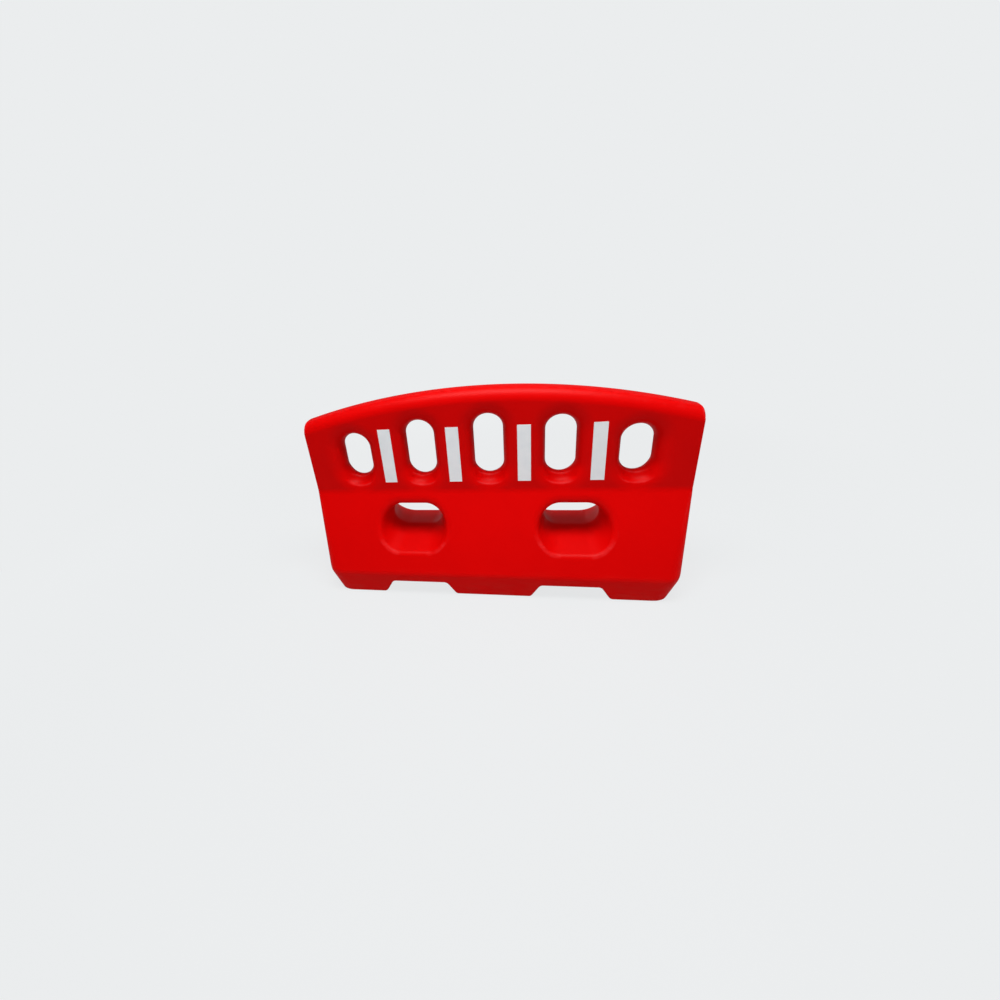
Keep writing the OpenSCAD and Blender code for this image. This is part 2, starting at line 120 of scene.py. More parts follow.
@dataclass(frozen=True)
class MouldedPolyethylene:
    """Linear polyethylene, rotationally moulded: deep colour all through, satin skin with a faint orange peel.

    The pigment clouds a little, the two halves of the mould leave a line on the middle plane, edges that face up
    are paler, partly rubbed and partly a painted highlight, and the feet pick up scuffs and dust.
    """

    name: str
    colour: str
    cloud: str
    # rubbed: paler red of rubbed edges, on the shell also a painted highlight on upward edges
    rubbed: str
    dust: str
    ior: float = 1.51
    specular: float = 0.07
    roughness: float = 0.40
    shinier: float = 0.05
    duller: float = 0.07
    cloud_mm: float = 260.0
    scuff_mm: float = 38.0
    # On the shell the rubbed share is partly rubbing and partly a painted highlight
    rub_start: float = 0.20
    rub_full: float = 0.60
    rub_share: float = 0.34
    dusty_z: float = 0.16
    scrape_mm: float = 90.0
    scrape_run: float = 5.0
    scrape_start: float = 0.46
    scrape_full: float = 0.72
    dust_share: float = 0.13
    peel_mm: float = 7.0
    seam_mm: float = 2.6
    seam_rise: float = 4.0
    relief: float = 0.35
    relief_mm: float = 0.25

    def tint(self, tree: Tree, place: Socket, grit: Socket) -> Socket:
        """Colour of the skin: clouded pigment, paler on upward edges for rubbing and a painted highlight, and dusty
        near the ground.

        Args:
            tree: the material's node tree.
            place: the Object coordinates.
            grit: the noise that breaks up the rubbing and the painted highlight.

        Returns:
            The colour.
        """
        cloud = add_node(tree, "ShaderNodeTexNoise", {"Scale": per_mm(self.cloud_mm), "Detail": 3.0},
                         {"Vector": place})
        colour = add_node(tree, "ShaderNodeMix",
                          {"data_type": "RGBA", MIX_FIRST: linear(self.colour), MIX_SECOND: linear(self.cloud)},
                          {0: cloud.outputs["Fac"]})

        # Rubbed edges with a painted highlight on them: the edge attribute of the skin, broken up by the grit
        edge = add_node(tree, "ShaderNodeAttribute", {"attribute_name": "edge"}).outputs["Fac"]
        rub_and_highlight = add_node(tree, "ShaderNodeMath", {"operation": "MULTIPLY"}, {0: edge, 1: grit}).outputs[0]
        rub_and_highlight = add_node(tree, "ShaderNodeMapRange",
                        {"From Min": self.rub_start, "From Max": self.rub_full, "To Max": self.rub_share},
                        {"Value": rub_and_highlight}).outputs["Result"]
        colour = add_node(tree, "ShaderNodeMix", {"data_type": "RGBA", MIX_SECOND: linear(self.rubbed)},
                          {0: rub_and_highlight, MIX_FIRST: colour.outputs[MIX_RESULT]})

        # Dust in short lying scrapes near the ground
        height = add_node(tree, "ShaderNodeSeparateXYZ", {}, {0: place}).outputs["Z"]
        low = add_node(tree, "ShaderNodeMapRange", {"From Min": self.dusty_z, "From Max": 0.0, "To Max": 1.0},
                       {"Value": height}).outputs["Result"]
        stretch = add_node(tree, "ShaderNodeMapping", {"Scale": (1.0, 1.0, self.scrape_run)}, {"Vector": place})
        scrape = add_node(tree, "ShaderNodeTexNoise",
                          {"Scale": per_mm(self.scrape_mm), "Detail": 8.0, "Roughness": 0.7},
                          {"Vector": stretch.outputs[0]}).outputs["Fac"]
        scrape = add_node(tree, "ShaderNodeMapRange",
                          {"From Min": self.scrape_start, "From Max": self.scrape_full, "To Max": self.dust_share},
                          {"Value": scrape}).outputs["Result"]
        dusty = add_node(tree, "ShaderNodeMath", {"operation": "MULTIPLY"}, {0: low, 1: scrape}).outputs[0]
        colour = add_node(tree, "ShaderNodeMix", {"data_type": "RGBA", MIX_SECOND: linear(self.dust)},
                          {0: dusty, MIX_FIRST: colour.outputs[MIX_RESULT]})
        return colour.outputs[MIX_RESULT]

    def skin(self, tree: Tree, place: Socket) -> Socket:
        """Normal of the skin: orange peel, and the mould line that stands up on the middle plane.

        Args:
            tree: the material's node tree.
            place: the Object coordinates.

        Returns:
            The normal.
        """
        # The peel is drawn a little coarser than life, so that it shows in a close view
        peel = add_node(tree, "ShaderNodeTexNoise", {"Scale": per_mm(self.peel_mm), "Detail": 2.0},
                        {"Vector": place})
        across = add_node(tree, "ShaderNodeSeparateXYZ", {}, {0: place}).outputs["Y"]
        away = add_node(tree, "ShaderNodeMath", {"operation": "ABSOLUTE"}, {0: across}).outputs[0]
        seam = add_node(tree, "ShaderNodeMapRange",
                        {"interpolation_type": "SMOOTHSTEP", "From Min": self.seam_mm * MM, "From Max": 0.0,
                         "To Max": self.seam_rise}, {"Value": away}).outputs["Result"]
        height = add_node(tree, "ShaderNodeMath", {"operation": "ADD"},
                          {0: peel.outputs["Fac"], 1: seam}).outputs[0]
        return add_node(tree, "ShaderNodeBump", {"Strength": self.relief, "Distance": self.relief_mm * MM},
                        {"Height": height}).outputs[0]

    def paint(self) -> Material:
        """Builds the material.

        Returns:
            The material, with the grit in its roughness too.
        """
        material, tree = new_material(self.name)
        place = add_node(tree, "ShaderNodeTexCoord", {}).outputs["Object"]
        grit = add_node(tree, "ShaderNodeTexNoise",
                        {"Scale": per_mm(self.scuff_mm), "Detail": 6.0, "Roughness": 0.65},
                        {"Vector": place}).outputs["Fac"]
        gloss = add_node(tree, "ShaderNodeMapRange",
                         {"To Min": self.roughness - self.shinier, "To Max": self.roughness + self.duller},
                         {"Value": grit})
        shader = add_node(tree, "ShaderNodeBsdfPrincipled", {"IOR": self.ior, "Specular IOR Level": self.specular},
                          {"Base Color": self.tint(tree, place, grit), "Roughness": gloss.outputs["Result"],
                           "Normal": self.skin(tree, place)})
        add_node(tree, "ShaderNodeOutputMaterial", {}, {"Surface": shader.outputs[0]})
        return material


@dataclass(frozen=True)
class RetroreflectiveFilm:
    """Glass-bead retroreflective film: a clear smooth face over pale grey, with the beads just visible in it."""

    name: str
    colour: str
    shade: str
    ior: float = 1.49
    specular: float = 0.5
    roughness: float = 0.32
    coat: float = 0.3
    coat_roughness: float = 0.12
    bead_mm: float = 1.6
    bead_share: float = 0.45
    sheen_mm: float = 60.0
    shade_start: float = 0.35
    shade_full: float = 1.05
    relief: float = 0.12
    relief_mm: float = 0.1

    def paint(self) -> Material:
        """Builds the material: bead cells in tint and bump, slow clouds in tint, under a glossy face.

        Returns:
            The material.
        """
        material, tree = new_material(self.name)
        place = add_node(tree, "ShaderNodeTexCoord", {}).outputs["Object"]
        # The beads are far smaller in life, and are drawn at this size so that they show in a close view
        beads = add_node(tree, "ShaderNodeTexVoronoi", {"Scale": per_mm(self.bead_mm)}, {"Vector": place})
        clouds = add_node(tree, "ShaderNodeTexNoise", {"Scale": per_mm(self.sheen_mm), "Detail": 3.0},
                          {"Vector": place})
        mixed = add_node(tree, "ShaderNodeMath", {"operation": "MULTIPLY_ADD", 1: self.bead_share},
                         {0: beads.outputs["Distance"], 2: clouds.outputs["Fac"]}).outputs[0]
        share = add_node(tree, "ShaderNodeMapRange", {"From Min": self.shade_start, "From Max": self.shade_full},
                         {"Value": mixed}).outputs["Result"]
        tint = add_node(tree, "ShaderNodeMix",
                        {"data_type": "RGBA", MIX_FIRST: linear(self.colour), MIX_SECOND: linear(self.shade)},
                        {0: share})
        bump = add_node(tree, "ShaderNodeBump", {"Strength": self.relief, "Distance": self.relief_mm * MM},
                        {"Height": beads.outputs["Distance"]})
        shader = add_node(tree, "ShaderNodeBsdfPrincipled",
                          {"IOR": self.ior, "Roughness": self.roughness, "Specular IOR Level": self.specular,
                           "Coat Weight": self.coat, "Coat Roughness": self.coat_roughness},
                          {"Base Color": tint.outputs[MIX_RESULT], "Normal": bump.outputs[0]})
        add_node(tree, "ShaderNodeOutputMaterial", {}, {"Surface": shader.outputs[0]})
        return material


@dataclass(frozen=True)
class FittingPlastic:
    """Small screwed or sealing piece, moulded or turned: one pigment, a fine grain, and rubbed high spots."""

    name: str
    colour: str
    rubbed: str
    roughness: float
    specular: float
    grain_mm: float
    relief: float
    ior: float = 1.5
    shinier: float = 0.06
    duller: float = 0.08
    patch_mm: float = 22.0
    rub_start: float = 0.45
    rub_full: float = 0.8
    rub_share: float = 0.35
    relief_mm: float = 0.1

    def paint(self) -> Material:
        """Builds the material: grain in bump, patches of rubbed colour and of gloss.

        Returns:
            The material.
        """
        material, tree = new_material(self.name)
        place = add_node(tree, "ShaderNodeTexCoord", {}).outputs["Object"]
        grain = add_node(tree, "ShaderNodeTexNoise", {"Scale": per_mm(self.grain_mm), "Detail": 4.0},
                         {"Vector": place})
        patch = add_node(tree, "ShaderNodeTexNoise",
                         {"Scale": per_mm(self.patch_mm), "Detail": 6.0, "Roughness": 0.7},
                         {"Vector": place}).outputs["Fac"]
        share = add_node(tree, "ShaderNodeMapRange",
                         {"From Min": self.rub_start, "From Max": self.rub_full, "To Max": self.rub_share},
                         {"Value": patch}).outputs["Result"]
        tint = add_node(tree, "ShaderNodeMix",
                        {"data_type": "RGBA", MIX_FIRST: linear(self.colour), MIX_SECOND: linear(self.rubbed)},
                        {0: share})
        gloss = add_node(tree, "ShaderNodeMapRange",
                         {"To Min": self.roughness - self.shinier, "To Max": self.roughness + self.duller},
                         {"Value": patch})
        bump = add_node(tree, "ShaderNodeBump", {"Strength": self.relief, "Distance": self.relief_mm * MM},
                        {"Height": grain.outputs["Fac"]})
        shader = add_node(tree, "ShaderNodeBsdfPrincipled", {"IOR": self.ior, "Specular IOR Level": self.specular},
                          {"Base Color": tint.outputs[MIX_RESULT], "Roughness": gloss.outputs["Result"],
                           "Normal": bump.outputs[0]})
        add_node(tree, "ShaderNodeOutputMaterial", {}, {"Surface": shader.outputs[0]})
        return material


# The shell's pale rubbed red also serves as a painted highlight on its upward edges
SHELL_RED = MouldedPolyethylene("rotomoulded_polyethylene_red", "#dc0202", "#d00101", "#e2474a", "#7a5a4c")
FILM_WHITE = RetroreflectiveFilm("retroreflective_film_white", "#fbfdff", "#eff4f8")
# Injection-moulded polyethylene: the shell's red a little deeper, closer in grain and with more sheen
CAP_RED = FittingPlastic("injection_moulded_polyethylene_red", "#ba0606", "#c42a2a", roughness=0.38,
                         specular=0.22, grain_mm=0.6, relief=0.25)
# Turned nylon: satin black that takes a clear highlight
COLLAR_BLACK = FittingPlastic("turned_nylon_black", "#1d1e20", "#3a3b3d", roughness=0.40, specular=0.4,
                              grain_mm=0.5, relief=0.2)
# Moulded rubber: matt black that swallows the light
SEAL_BLACK = FittingPlastic("moulded_rubber_black", "#161617", "#2c2c2d", roughness=0.72, specular=0.25,
                            grain_mm=0.4, relief=0.35)


def make_piece(name: str, points: Array, faces: list[Array], finish: Material) -> bpy.types.Object:
    """Puts a surface into a new mesh object at the origin.

    Args:
        name: the object's name.
        points: corner points in metres, one row each.
        faces: arrays of corner numbers, each with one row for a face and one width for all its rows.
        finish: the material.

    Returns:
        The new object, smooth shaded.
    """
    mesh = bpy.data.meshes.new(name)
    widths = np.concatenate([np.full(len(f), f.shape[1]) for f in faces])
    corners = np.concatenate([f.ravel() for f in faces]).astype(np.int32)
    starts = np.concatenate([[0], np.cumsum(widths)[:-1]]).astype(np.int32)
    mesh.vertices.add(len(points))
    mesh.vertices.foreach_set("co", np.ascontiguousarray(points, np.float32).ravel())
    mesh.loops.add(len(corners))
    mesh.loops.foreach_set("vertex_index", corners)
    mesh.polygons.add(len(starts))
    mesh.polygons.foreach_set("loop_start", starts)
    mesh.update(calc_edges=True)
    mesh.polygons.foreach_set("use_smooth", np.ones(len(starts), bool))
    mesh.materials.append(finish)
    piece = bpy.data.objects.new(name, mesh)
    bpy.context.scene.collection.objects.link(piece)
    return piece


def dress_node(node: str, finish: Material) -> None:
    """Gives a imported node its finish.

    Args:
        node: the node's name.
        finish: the material.
    """
    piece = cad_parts[node]
    if not piece.material_slots:
        piece.data.materials.append(finish)
    for material_slot in piece.material_slots:
        material_slot.material = finish
    LOG.info("dressed %s", node)


def soft_max(a: Array, b: Array, reach: Array | float) -> Array:
    """The larger of two distances, rounded by a parabola where they differ by less than reach."""
    lap = np.maximum(reach - np.abs(a - b), 0.0)
    return np.maximum(a, b) + lap * lap / (4.0 * reach)


def round_max(a: Array, b: Array, radius: float) -> Array:
    """The larger of two distances to faces that stand square, with their edge rounded by a true arc.

    Args:
        a: distances to one face.
        b: distances to the other.
        radius: the arc's radius.

    Returns:
        The distances to both faces together.
    """
    u = a + radius
    v = b + radius
    return np.hypot(np.maximum(u, 0.0), np.maximum(v, 0.0)) + np.minimum(np.maximum(u, v), 0.0) - radius


def graded(low: float, high: float, step: float, fine: float, bands: list[tuple[float, float]]) -> Array:
    """Places along a line, found by running along it in steps that are shorter inside some bands.

    Args:
        low: the first place.
        high: the last place.
        step: about the spacing outside the bands.
        fine: about the spacing inside them.
        bands: start and end of each band.

    Returns:
        The places, from low to high.
    """
    probe_count = 4001
    probe = np.linspace(low, high, probe_count)
    inside = np.zeros(len(probe), bool)
    for start, end in bands:
        inside |= (probe > start) & (probe < end)
    run = np.concatenate([[0.0], np.cumsum(np.diff(probe) / np.where(inside[1:], fine, step))])
    return np.interp(np.linspace(0.0, run[-1], int(run[-1]) + 2), run, probe)


def skin_of(field: Field, axes: list[Array]) -> tuple[Array, Array]:
    """Surface net of a distance field: one point in each lattice cell that the surface crosses.

    A point is the mean of the places where the surface cuts the cell's edges. Each lattice edge that is cut gives
    one four-cornered face, between the points of the four cells round it.

    Args:
        field: distance from x, y and z arrays that broadcast, negative inside.
        axes: the lattice's places along X, Y and Z.

    Returns:
        The points, and the faces as rows of four corner numbers that turn outwards.
    """
    values = field(*np.meshgrid(*[axis.astype(np.float32) for axis in axes], indexing="ij", sparse=True))
    strides = np.array([values[0].size, values[0, 0].size, 1])
    cells = []
    cuts = []
    for axis in range(3):
        second = strides[(axis + 1) % 3]
        third = strides[(axis + 2) % 3]
        before = np.moveaxis(values, axis, 0)[:-1]
        after = np.moveaxis(values, axis, 0)[1:]
        cut = np.moveaxis((before < 0) != (after < 0), 0, axis)
        base = np.argwhere(cut)
        start = np.moveaxis(before, 0, axis)[cut]
        end = np.moveaxis(after, 0, axis)[cut]
        place = np.stack([axes[a][base[:, a]] for a in range(3)], axis=1)
        place[:, axis] += np.diff(axes[axis])[base[:, axis]] * start / (start - end)
        ring = (base @ strides)[:, None] + np.array([0, -second, -second - third, -third])
        cells.append(np.where((start < 0)[:, None], ring, ring[:, ::-1]))
        cuts.append(np.repeat(place, 4, axis=0))
    cells = np.concatenate(cells)
    cuts = np.concatenate(cuts)
    _, corner = np.unique(cells.ravel(), return_inverse=True)
    corner = corner.ravel()
    share = np.bincount(corner)
    points = np.stack([np.bincount(corner, cuts[:, a]) / share for a in range(3)], axis=1)
    return points, corner.reshape(-1, 4)


@dataclass(frozen=True, kw_only=True)
class Opening(ABC):
    """A cut in the moulding, with its mouth rounded by a lip. Lengths are in metres."""

    lip: float

    @abstractmethod
    def distance(self, x: Array, y: Array, z: Array) -> Array:
        """Distance to the opening's wall, negative in the opening.

        Args:
            x: places along the barrier.
            y: places across it.
            z: heights; the three arrays broadcast together.

        Returns:
            The distances.
        """

    def lip_at(self, z: Array) -> Array | float:
        """Reach of the mouth's rounding at each height."""
        return self.lip


@dataclass(frozen=True, kw_only=True)
class Pocket(Opening):
    """A round recess for a screw fitting, with the blind bore that takes the fitting's sleeve."""

    centre: Point
    out: Point
    radius: float
    floor: float
    bore_radius: float
    bore_floor: float
    floor_blend: float = 0.003
    lip: float = 0.006

    def distance(self, x: Array, y: Array, z: Array) -> Array:
        """Distance to the recess: the nearer of two stopped cylinders on the fitting's axis.

        Args:
            x: places along the barrier.
            y: places across it.
            z: heights.

        Returns:
            The distances.
        """
        dx = x - self.centre[0]
        dy = y - self.centre[1]
        dz = z - self.centre[2]
        rise = dx * self.out[0] + dy * self.out[1] + dz * self.out[2]
        spread = np.sqrt(np.maximum(dx * dx + dy * dy + dz * dz - rise * rise, 0.0))
        recess = soft_max(spread - self.radius, self.floor - rise, self.floor_blend)
        bore = np.maximum(spread - self.bore_radius, self.bore_floor - rise)
        return np.minimum(recess, bore)


@dataclass(frozen=True, kw_only=True)
class ForkChannels(Opening):
    """The two channels under the base."""

    middle: float = 0.367
    half: float = 0.181
    roof_half: float = 0.138
    height: float = 0.070
    roof_blend: float = 0.014
    lip: float = 0.012

    def distance(self, x: Array, y: Array, z: Array) -> Array:
        """Distance to the nearer channel: leaning sides under a flat roof, the same all the way across.

        Args:
            x: places along the barrier.
            y: places across it; not used.
            z: heights.

        Returns:
            The distances.
        """
        lean = math.atan2(self.half - self.roof_half, self.height)
        side = (np.abs(np.abs(x) - self.middle) - self.half) * math.cos(lean) + z * math.sin(lean)
        return soft_max(side, z - self.height, self.roof_blend)


@dataclass(frozen=True)
class SlotRow:
    """How the slots stand along the panel: evenly, on both sides of the one in the middle."""

    pitch: float = 0.330
    last: int = 2

    def middle(self, x: Array) -> Array:
        """Middle of the slot that is nearest to each place."""
        return self.pitch * np.clip(np.rint(x / self.pitch), -self.last, self.last)


@dataclass(frozen=True, kw_only=True)
class Slots(Opening):
    """The upright slots through the panel, with their tops on an arch."""

    row: SlotRow = SlotRow()
    radius: float = 0.068
    foot_z: float = 0.568
    top_z: float = 0.871
    arch_r: float = 2.950
    draft: float = math.radians(1.0)
    lip: float = 0.084

    def distance(self, x: Array, y: Array, z: Array) -> Array:
        """Distance to the nearest slot's throat: an upright stadium that widens outwards.

        Args:
            x: places along the barrier.
            y: places across it.
            z: heights.

        Returns:
            The distances.
        """
        middle = self.row.middle(x)
        top = self.top_z - self.arch_r + np.sqrt(self.arch_r ** 2 - middle * middle)
        rise = (top - self.foot_z) / 2.0 - self.radius
        over = np.maximum(np.abs(z - (top + self.foot_z) / 2.0) - rise, 0.0)
        return np.hypot(x - middle, over) - self.radius - np.abs(y) * math.tan(self.draft)


@dataclass(frozen=True, kw_only=True)
class Scoops(Opening):
    """The hollows at the slots' feet, on both faces."""

    row: SlotRow = SlotRow()
    half: float = 0.072
    rise: float = 0.045
    radius: float = 0.0528
    arc_y: float = 0.0705
    arc_z: float = 0.5832
    lip: float = 0.006

    def distance(self, x: Array, y: Array, z: Array) -> Array:
        """Distance to the nearest scoop.

        It runs from the throat down to the face on an arc about a point in front of the face, and its sides turn
        up on quarters of an ellipse.

        Args:
            x: places along the barrier.
            y: places across it.
            z: heights.

        Returns:
            The distances.
        """
        depth = self.radius - np.hypot(np.abs(y) - self.arc_y, z - self.arc_z)
        spread = np.hypot((x - self.row.middle(x)) / self.half, np.minimum(depth / self.rise - 1.0, 0.0))
        return self.rise * (spread - 1.0)


@dataclass(frozen=True, kw_only=True)
class Tunnels(Opening):
    """The two lying tunnels through the flared base."""

    middle: float = 0.390
    height: float = 0.338
    radius: float = 0.077
    flat: float = 0.055
    draft: float = math.radians(12.3)
    ridge: float = 0.012
    widen: float = 0.06
    lip: float = 0.030
    lip_growth: float = 0.20
    lip_least: float = 0.013
    lip_most: float = 0.055

    def distance(self, x: Array, y: Array, z: Array) -> Array:
        """Distance to the nearer tunnel: a lying stadium that widens from a soft ridge on the middle plane.

        Args:
            x: places along the barrier.
            y: places across it.
            z: heights.

        Returns:
            The distances.
        """
        away = np.hypot(y, self.ridge) - self.ridge
        flat = self.flat + self.widen * away
        over = np.maximum(np.abs(np.abs(x) - self.middle) - flat, 0.0)
        wall = np.hypot(over, z - self.height) - self.radius - away * math.tan(self.draft)
        return wall * math.cos(self.draft)

    def lip_at(self, z: Array) -> Array | float:
        """Reach of the mouth's rounding, softer towards the top."""
        return np.clip(self.lip + self.lip_growth * (z - self.height), self.lip_least, self.lip_most)


@dataclass(frozen=True)
class BarrierForm:
    """The moulding before it is cut: arched panel, flared base, skirt and ends, in metres."""

    # Half length and height, and half sizes at the waist, the skirt and the foot
    half_length: float = 0.900
    height: float = 1.000
    panel_y: float = 0.068
    waist_z: float = 0.500
    skirt_z: float = 0.124
    skirt_y: float = 0.250
    skirt_x: float = 0.856
    foot_y: float = 0.242
    foot_x: float = 0.813
    # Arch of the crown, and the roundings
    crown_r: float = 3.200
    crown_edge_r: float = 0.060
    crown_end: float = 0.014
    crown_blend: float = 0.004
    corner_low: float = 0.080
    corner_high: float = 0.012
    waist_blend: float = 0.007
    skirt_blend: float = 0.0075
    foot_blend: float = 0.005
    end_blend: float = 0.003
    toe_blend: float = 0.004

    def distance(self, x: Array, y: Array, z: Array) -> Array:
        """Distance to the closed form: panel and flared base joined, cut off by the ends and the ground.

        Args:
            x: places along the barrier.
            y: places across it.
            z: heights.

        Returns:
            The distances, negative inside.
        """
        across = np.abs(y)
        along = np.abs(x)
        flare = math.atan2(self.skirt_y - self.panel_y, self.waist_z - self.skirt_z)
        lean = math.atan2(self.skirt_y - self.foot_y, self.skirt_z)
        end = math.atan2(self.half_length - self.skirt_x, self.waist_z - self.skirt_z)
        toe = math.atan2(self.skirt_x - self.foot_x, self.skirt_z)
        crown = np.hypot(x, z - self.height + self.crown_r) - self.crown_r
        panel = round_max(across - self.panel_y, crown, self.crown_edge_r)
        flared = (across - self.panel_y) * math.cos(flare) + (z - self.waist_z) * math.sin(flare)
        skirt = (across - self.foot_y) * math.cos(lean) - z * math.sin(lean)
        base = soft_max(flared, skirt, self.skirt_blend)
        section = -soft_max(-panel, -base, self.waist_blend)
        upright = along - self.half_length
        leaning = upright * math.cos(end) - (z - self.waist_z) * math.sin(end)
        tucked = (along - self.foot_x) * math.cos(toe) - z * math.sin(toe)
        ends = soft_max(soft_max(upright, leaning, self.end_blend), tucked, self.toe_blend)
        low = np.clip((self.waist_z - z) / (self.waist_z - self.skirt_z), 0.0, 1.0)
        form = soft_max(section, ends, self.corner_high + (self.corner_low - self.corner_high) * low)
        form = soft_max(form, soft_max(crown, upright, self.crown_end), self.crown_blend)
        return soft_max(form, -z, self.foot_blend)


@dataclass(frozen=True)
class BarrierShell:
    """The hollow moulding, drawn as one skin: its form less every opening. Lengths are in metres."""

    pockets: tuple[Pocket, ...]
    form: BarrierForm = BarrierForm()
    openings: tuple[Opening, ...] = (ForkChannels(), Slots(), Scoops(), Tunnels())
    # Spacing of the net, outside and round the pockets, and the triangles it is thinned to
    step: float = 0.0062
    fine_step: float = 0.0030
    fine_margin: float = 0.020
    margin_steps: float = 3.0
    triangles: int = 195000
    # Newton steps on to the skin, and the reach of the normals
    settle_rounds: int = 4
    settle_reach: float = 0.3 * MM
    least_steep: float = 0.2
    normal_reach: float = 0.5 * MM
    # Rubbed and painted-highlight edges: reach and gain of the curvature, gain of facing up, longest edge in steps,
    # clearance in pocket radii
    wear_highlight_reach: float = 4.0 * MM
    wear_highlight_gain: float = 0.022
    wear_highlight_up: float = 1.6
    wear_highlight_long: float = 3.0
    wear_highlight_clear: float = 0.5

    def distance(self, x: Array, y: Array, z: Array) -> Array:
        """Signed distance to the moulding's skin.

        Args:
            x: places along the barrier.
            y: places across it.
            z: heights; the three arrays broadcast together.

        Returns:
            The distances, negative inside: the form less every opening, with each mouth rounded.
        """
        skin = self.form.distance(x, y, z)
        for opening in self.openings + self.pockets:
            skin = soft_max(skin, -opening.distance(x, y, z), opening.lip_at(z))
        return skin

    def slope(self, points: Array, reach: float) -> tuple[Array, Array]:
        """Gradient and curvature of the distance, from steps of the length reach along each axis.

        Args:
            points: places, one row each.
            reach: length of the steps.

        Returns:
            The gradient rows, and the sum of the second differences.
        """
        here = self.distance(*points.T)
        gradient = np.empty_like(points)
        bend = np.zeros(len(points))
        for axis in range(3):
            shift = np.zeros(3)
            shift[axis] = reach
            ahead = self.distance(*(points + shift).T)
            behind = self.distance(*(points - shift).T)
            gradient[:, axis] = (ahead - behind) / (2.0 * reach)
            bend += (ahead + behind - 2.0 * here) / reach ** 2
        return gradient, bend

    def settle(self, points: Array) -> Array:
        """Moves points along the gradient on to the skin, in a few Newton steps.

        Args:
            points: places near the skin, one row each.

        Returns:
            The places on the skin.
        """
        for _ in range(self.settle_rounds):
            gradient, _ = self.slope(points, self.settle_reach)
            steep = np.maximum((gradient * gradient).sum(axis=1), self.least_steep)
            move = np.clip(self.distance(*points.T) / steep, -self.step, self.step)
            points = points - move[:, None] * gradient
        return points

    def lattice(self) -> list[Array]:
        """Lays out the lattice of the net, closer round the pockets.

        Returns:
            The places along X, Y and Z.
        """
        margin = self.margin_steps * self.step
        low = np.array([-self.form.half_length, -self.form.skirt_y, 0.0]) - margin
        high = np.array([self.form.half_length, self.form.skirt_y, self.form.height]) + margin
        axes = []
        for axis in range(3):
            spans = [(pocket.centre[axis], pocket.radius + self.fine_margin) for pocket in self.pockets]
            bands = [(middle - reach, middle + reach) for middle, reach in spans]
            axes.append(graded(low[axis], high[axis], self.step, self.fine_step, bands))
        return axes

    def thinned_net(self, finish: Material) -> bpy.types.Mesh:
        """Nets the distance field and thins the net where it is flat.

        Args:
            finish: the shell's material.

        Returns:
            The mesh, close to the skin.
        """
        points, faces = skin_of(self.distance, self.lattice())
        rough = make_piece("shell_net", self.settle(points), [faces], finish)
        thin = rough.modifiers.new("thin", "DECIMATE")
        thin.ratio = min(1.0, self.triangles / (2.0 * len(faces)))
        thin.use_collapse_triangulate = True
        view = bpy.context.evaluated_depsgraph_get()
        mesh = bpy.data.meshes.new_from_object(rough.evaluated_get(view))
        bpy.data.objects.remove(rough)
        LOG.info("barrier_skin: %d triangles from %d faces", len(mesh.polygons), len(faces))
        return mesh

    def wear_and_highlight(self, mesh: bpy.types.Mesh, points: Array, normals: Array) -> Array:
        """How much each point is rubbed and painted with a highlight: the curvature of edges that face up.

        Args:
            mesh: the skin.
            points: its points.
            normals: their normals.

        Returns:
            Shares from 0 to 1, zero in the pockets and at points with a long flat triangle.
        """
        _, bend = self.slope(points, self.wear_highlight_reach)
        # Facing up makes the mark follow the light from above: a painted highlight as well as rubbing
        rubbed = np.clip(bend * self.wear_highlight_gain, 0.0, 1.0) * np.clip(self.wear_highlight_up * normals[:, 2], 0.0, 1.0)
        pairs = np.empty(2 * len(mesh.edges), np.int32)
        mesh.edges.foreach_get("vertices", pairs)
        span = np.linalg.norm(points[pairs[::2]] - points[pairs[1::2]], axis=1)
        longest = np.zeros(len(points))
        np.maximum.at(longest, pairs, np.repeat(span, 2))
        rubbed *= np.clip(self.wear_highlight_long - longest / self.step, 0.0, 1.0)
        for pocket in self.pockets:
            rubbed *= pocket.distance(*points.T) > self.wear_highlight_clear * pocket.radius
        return rubbed

    def build(self, finish: Material) -> bpy.types.Object:
        """Settles the thinned net on the skin.

        Args:
            finish: the shell's material.

        Returns:
            The shell, with true normals, and its rubbing and painted highlight in an attribute named edge.
        """
        mesh = self.thinned_net(finish)
        flat = np.empty(3 * len(mesh.vertices), np.float32)
        mesh.vertices.foreach_get("co", flat)
        points = self.settle(flat.reshape(-1, 3).astype(float))
        mesh.vertices.foreach_set("co", points.astype(np.float32).ravel())
        mesh.update(calc_edges=True)
        gradient, _ = self.slope(points, self.normal_reach)
        normals = gradient / np.linalg.norm(gradient, axis=1, keepdims=True)
        # The edge attribute marks rubbing and a painted highlight on upward edges
        edge = mesh.attributes.new("edge", "FLOAT", "POINT")
        edge.data.foreach_set("value", self.wear_and_highlight(mesh, points, normals).astype(np.float32))
        mesh.polygons.foreach_set("use_smooth", np.ones(len(mesh.polygons), bool))
        mesh.normals_split_custom_set_from_vertices(normals.tolist())
        mesh.name = "barrier_skin"
        piece = bpy.data.objects.new("barrier_skin", mesh)
        bpy.context.scene.collection.objects.link(piece)
        return piece

    def dress(self) -> None:
        """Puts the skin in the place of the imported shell."""
        piece = self.build(SHELL_RED.paint())
        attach(piece, "barrier")
        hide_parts("barrier_shell")


